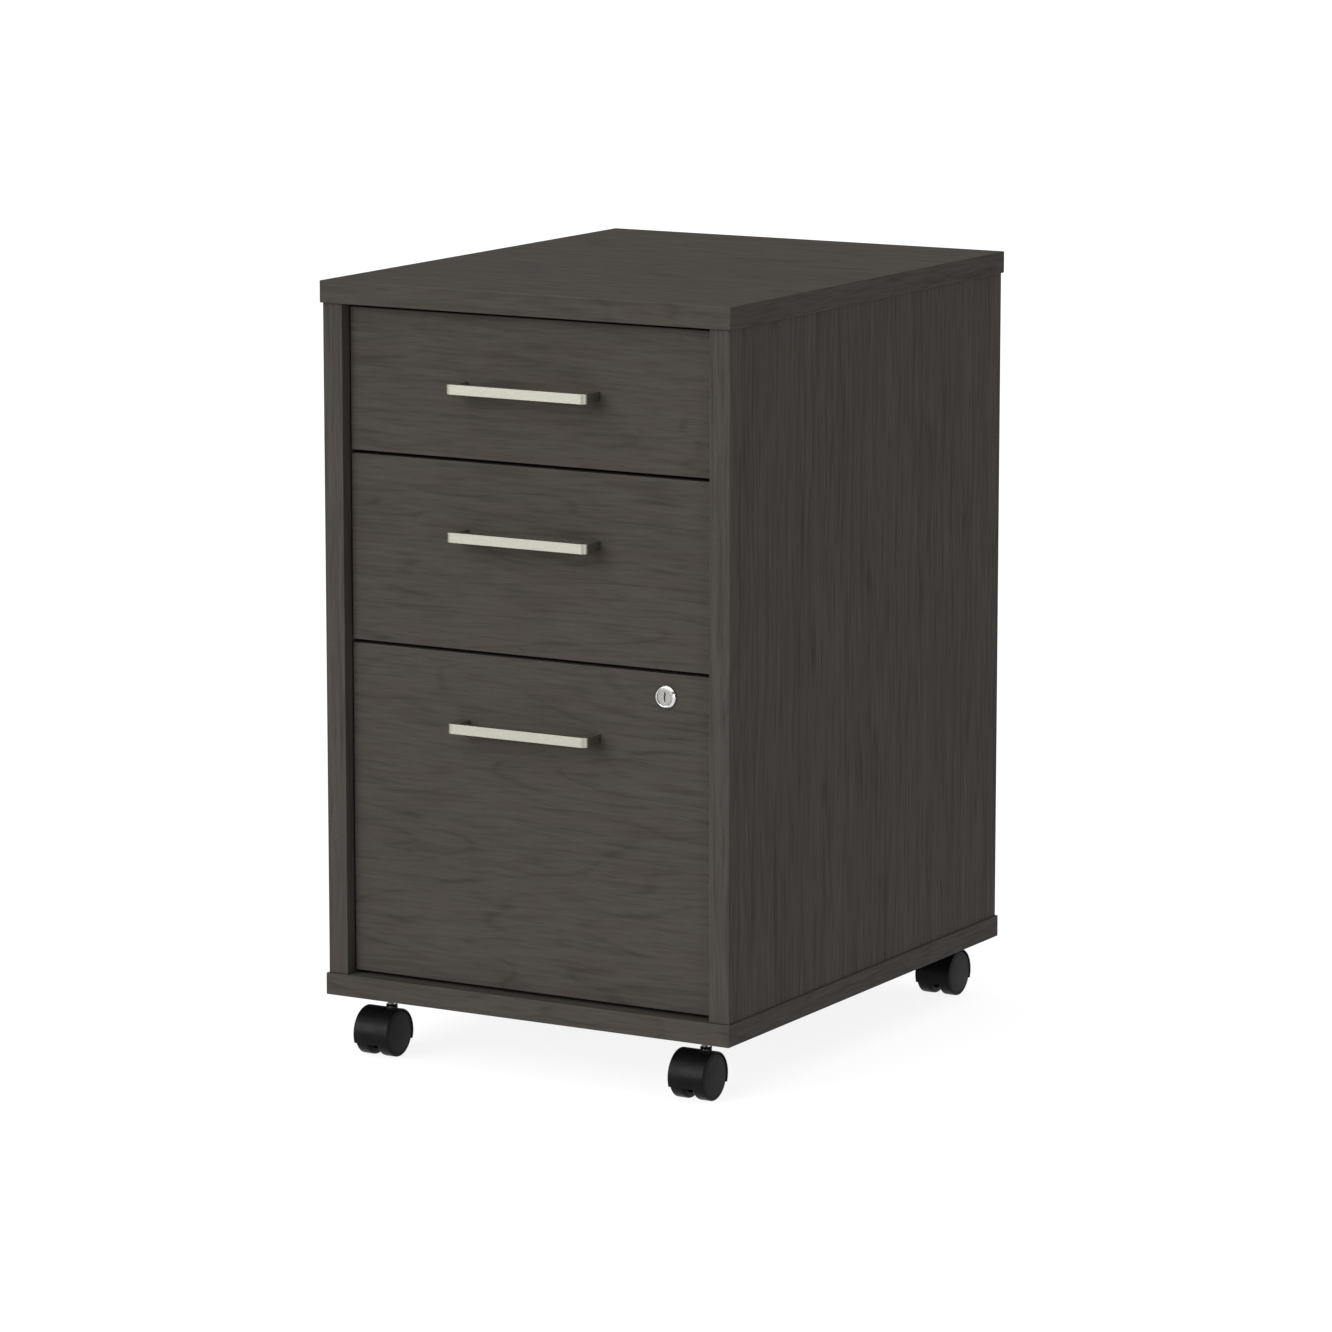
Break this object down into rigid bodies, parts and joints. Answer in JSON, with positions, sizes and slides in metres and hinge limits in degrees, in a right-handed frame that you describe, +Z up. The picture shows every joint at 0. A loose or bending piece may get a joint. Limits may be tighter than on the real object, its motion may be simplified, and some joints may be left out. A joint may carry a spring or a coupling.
{
  "type": "mobile drawer pedestal",
  "caption": "Dark woodgrain mobile filing pedestal with inset box drawers over a locking file drawer, bow handles and hooded twin-wheel casters.",
  "frame": {"origin": "on the floor, under the middle of the bounding box", "axes": "+Z up, -Y towards the front with the handles, +X to the right seen from the front"},
  "size_m": [0.398, 0.5056, 0.671],
  "materials": {
    "woodgrain_laminate_flat": "satin dark grey-brown woodgrain laminate, grain lying flat",
    "woodgrain_laminate_upright": "satin dark grey-brown woodgrain laminate, grain upright",
    "back_board": "plain dark laminate board",
    "box_board": "dark grey melamine-faced board",
    "bottom_board": "dark hardboard",
    "beech_dowel": "plain fluted beech",
    "zinc_plated_steel": "zinc plated",
    "die_cast_zinc": "die cast",
    "bright_steel": "bright nickel-plated steel",
    "brushed_nickel": "brushed nickel",
    "polished_nickel": "polished nickel",
    "satin_zinc": "satin grey metal",
    "black_nylon": "moulded black nylon, satin",
    "black_wheel": "moulded black nylon wheel, satin"
  },
  "bodies": {
    "case": {"top_panel": "woodgrain_laminate_flat", "bottom_panel": "woodgrain_laminate_flat", "left_side_panel": "woodgrain_laminate_upright", "right_side_panel": "woodgrain_laminate_upright", "back_panel": "back_board", "lock_rail": "box_board", "lock_strike_plate": "zinc_plated_steel", "case_slide_channels": "zinc_plated_steel", "case_screws": "zinc_plated_steel", "caster_inserts": "zinc_plated_steel", "cam_lock_nuts": "die_cast_zinc", "cam_lock_bolts": "zinc_plated_steel", "wood_dowels": "beech_dowel", "caster_stems": "bright_steel"},
    "top_drawer": {"top_drawer_front": "woodgrain_laminate_flat", "top_drawer_sides": "box_board", "top_drawer_back": "box_board", "top_drawer_bottom": "bottom_board", "top_drawer_inner_slides": "zinc_plated_steel", "top_drawer_handle": "brushed_nickel", "top_drawer_fasteners": "zinc_plated_steel"},
    "top_drawer_middle_slide": {"top_drawer_middle_slides": "zinc_plated_steel"},
    "middle_drawer": {"middle_drawer_front": "woodgrain_laminate_flat", "middle_drawer_sides": "box_board", "middle_drawer_back": "box_board", "middle_drawer_bottom": "bottom_board", "middle_drawer_inner_slides": "zinc_plated_steel", "middle_drawer_handle": "brushed_nickel", "middle_drawer_fasteners": "zinc_plated_steel"},
    "middle_drawer_middle_slide": {"middle_drawer_middle_slides": "zinc_plated_steel"},
    "file_drawer": {"file_drawer_front": "woodgrain_laminate_flat", "file_drawer_sides": "box_board", "file_drawer_back": "box_board", "file_drawer_bottom": "bottom_board", "file_drawer_inner_slides": "zinc_plated_steel", "file_drawer_handle": "brushed_nickel", "file_drawer_fasteners": "zinc_plated_steel", "hanging_file_rails": "zinc_plated_steel", "lock_barrel": "polished_nickel", "lock_nut": "zinc_plated_steel"},
    "file_drawer_middle_slide": {"file_drawer_middle_slides": "zinc_plated_steel"},
    "lock": {"lock_plug": "satin_zinc", "lock_cam": "zinc_plated_steel", "lock_cam_screw": "zinc_plated_steel"},
    "front_left_caster": {"front_left_caster_hood": "black_nylon", "front_left_caster_axle": "bright_steel"},
    "front_left_caster_left_wheel": {"front_left_caster_left_wheel": "black_wheel"},
    "front_left_caster_right_wheel": {"front_left_caster_right_wheel": "black_wheel"},
    "front_right_caster": {"front_right_caster_hood": "black_nylon", "front_right_caster_axle": "bright_steel"},
    "front_right_caster_left_wheel": {"front_right_caster_left_wheel": "black_wheel"},
    "front_right_caster_right_wheel": {"front_right_caster_right_wheel": "black_wheel"},
    "back_left_caster": {"back_left_caster_hood": "black_nylon", "back_left_caster_axle": "bright_steel"},
    "back_left_caster_left_wheel": {"back_left_caster_left_wheel": "black_wheel"},
    "back_left_caster_right_wheel": {"back_left_caster_right_wheel": "black_wheel"},
    "back_right_caster": {"back_right_caster_hood": "black_nylon", "back_right_caster_axle": "bright_steel"},
    "back_right_caster_left_wheel": {"back_right_caster_left_wheel": "black_wheel"},
    "back_right_caster_right_wheel": {"back_right_caster_right_wheel": "black_wheel"}
  },
  "joints": [
    {"name": "top_drawer_slide", "type": "slide", "parent": "case", "child": "top_drawer", "axis": [0, -1, 0], "range_m": [0, 0.39]},
    {"name": "top_drawer_middle_slide_travel", "type": "slide", "parent": "case", "child": "top_drawer_middle_slide", "axis": [0, -1, 0], "range_m": [0, 0.195]},
    {"name": "middle_drawer_slide", "type": "slide", "parent": "case", "child": "middle_drawer", "axis": [0, -1, 0], "range_m": [0, 0.39]},
    {"name": "middle_drawer_middle_slide_travel", "type": "slide", "parent": "case", "child": "middle_drawer_middle_slide", "axis": [0, -1, 0], "range_m": [0, 0.195]},
    {"name": "file_drawer_slide", "type": "slide", "parent": "case", "child": "file_drawer", "axis": [0, -1, 0], "range_m": [0, 0.39]},
    {"name": "file_drawer_middle_slide_travel", "type": "slide", "parent": "case", "child": "file_drawer_middle_slide", "axis": [0, -1, 0], "range_m": [0, 0.195]},
    {"name": "lock_turn", "type": "hinge", "parent": "file_drawer", "child": "lock", "pos_m": [0.1318, -0.21, 0.3415], "axis": [0, 1, 0], "range_deg": [0, 90]},
    {"name": "front_left_caster_swivel", "type": "hinge", "parent": "case", "child": "front_left_caster", "pos_m": [-0.156, -0.20375, 0.0387], "axis": [0, 0, 1], "continuous": true},
    {"name": "front_left_caster_left_wheel_spin", "type": "hinge", "parent": "front_left_caster", "child": "front_left_caster_left_wheel", "pos_m": [-0.16715, -0.21775, 0.02], "axis": [1, 0, 0], "continuous": true},
    {"name": "front_left_caster_right_wheel_spin", "type": "hinge", "parent": "front_left_caster", "child": "front_left_caster_right_wheel", "pos_m": [-0.14485, -0.21775, 0.02], "axis": [1, 0, 0], "continuous": true},
    {"name": "front_right_caster_swivel", "type": "hinge", "parent": "case", "child": "front_right_caster", "pos_m": [0.156, -0.20375, 0.0387], "axis": [0, 0, 1], "continuous": true},
    {"name": "front_right_caster_left_wheel_spin", "type": "hinge", "parent": "front_right_caster", "child": "front_right_caster_left_wheel", "pos_m": [0.14485, -0.21775, 0.02], "axis": [1, 0, 0], "continuous": true},
    {"name": "front_right_caster_right_wheel_spin", "type": "hinge", "parent": "front_right_caster", "child": "front_right_caster_right_wheel", "pos_m": [0.16715, -0.21775, 0.02], "axis": [1, 0, 0], "continuous": true},
    {"name": "back_left_caster_swivel", "type": "hinge", "parent": "case", "child": "back_left_caster", "pos_m": [-0.156, 0.21525, 0.0387], "axis": [0, 0, 1], "continuous": true},
    {"name": "back_left_caster_left_wheel_spin", "type": "hinge", "parent": "back_left_caster", "child": "back_left_caster_left_wheel", "pos_m": [-0.16715, 0.22925, 0.02], "axis": [1, 0, 0], "continuous": true},
    {"name": "back_left_caster_right_wheel_spin", "type": "hinge", "parent": "back_left_caster", "child": "back_left_caster_right_wheel", "pos_m": [-0.14485, 0.22925, 0.02], "axis": [1, 0, 0], "continuous": true},
    {"name": "back_right_caster_swivel", "type": "hinge", "parent": "case", "child": "back_right_caster", "pos_m": [0.156, 0.21525, 0.0387], "axis": [0, 0, 1], "continuous": true},
    {"name": "back_right_caster_left_wheel_spin", "type": "hinge", "parent": "back_right_caster", "child": "back_right_caster_left_wheel", "pos_m": [0.14485, 0.22925, 0.02], "axis": [1, 0, 0], "continuous": true},
    {"name": "back_right_caster_right_wheel_spin", "type": "hinge", "parent": "back_right_caster", "child": "back_right_caster_right_wheel", "pos_m": [0.16715, 0.22925, 0.02], "axis": [1, 0, 0], "continuous": true}
  ],
  "couplings": [
    {"joint": "top_drawer_middle_slide_travel", "follows": "top_drawer_slide", "ratio": 0.5},
    {"joint": "middle_drawer_middle_slide_travel", "follows": "middle_drawer_slide", "ratio": 0.5},
    {"joint": "file_drawer_middle_slide_travel", "follows": "file_drawer_slide", "ratio": 0.5}
  ]
}
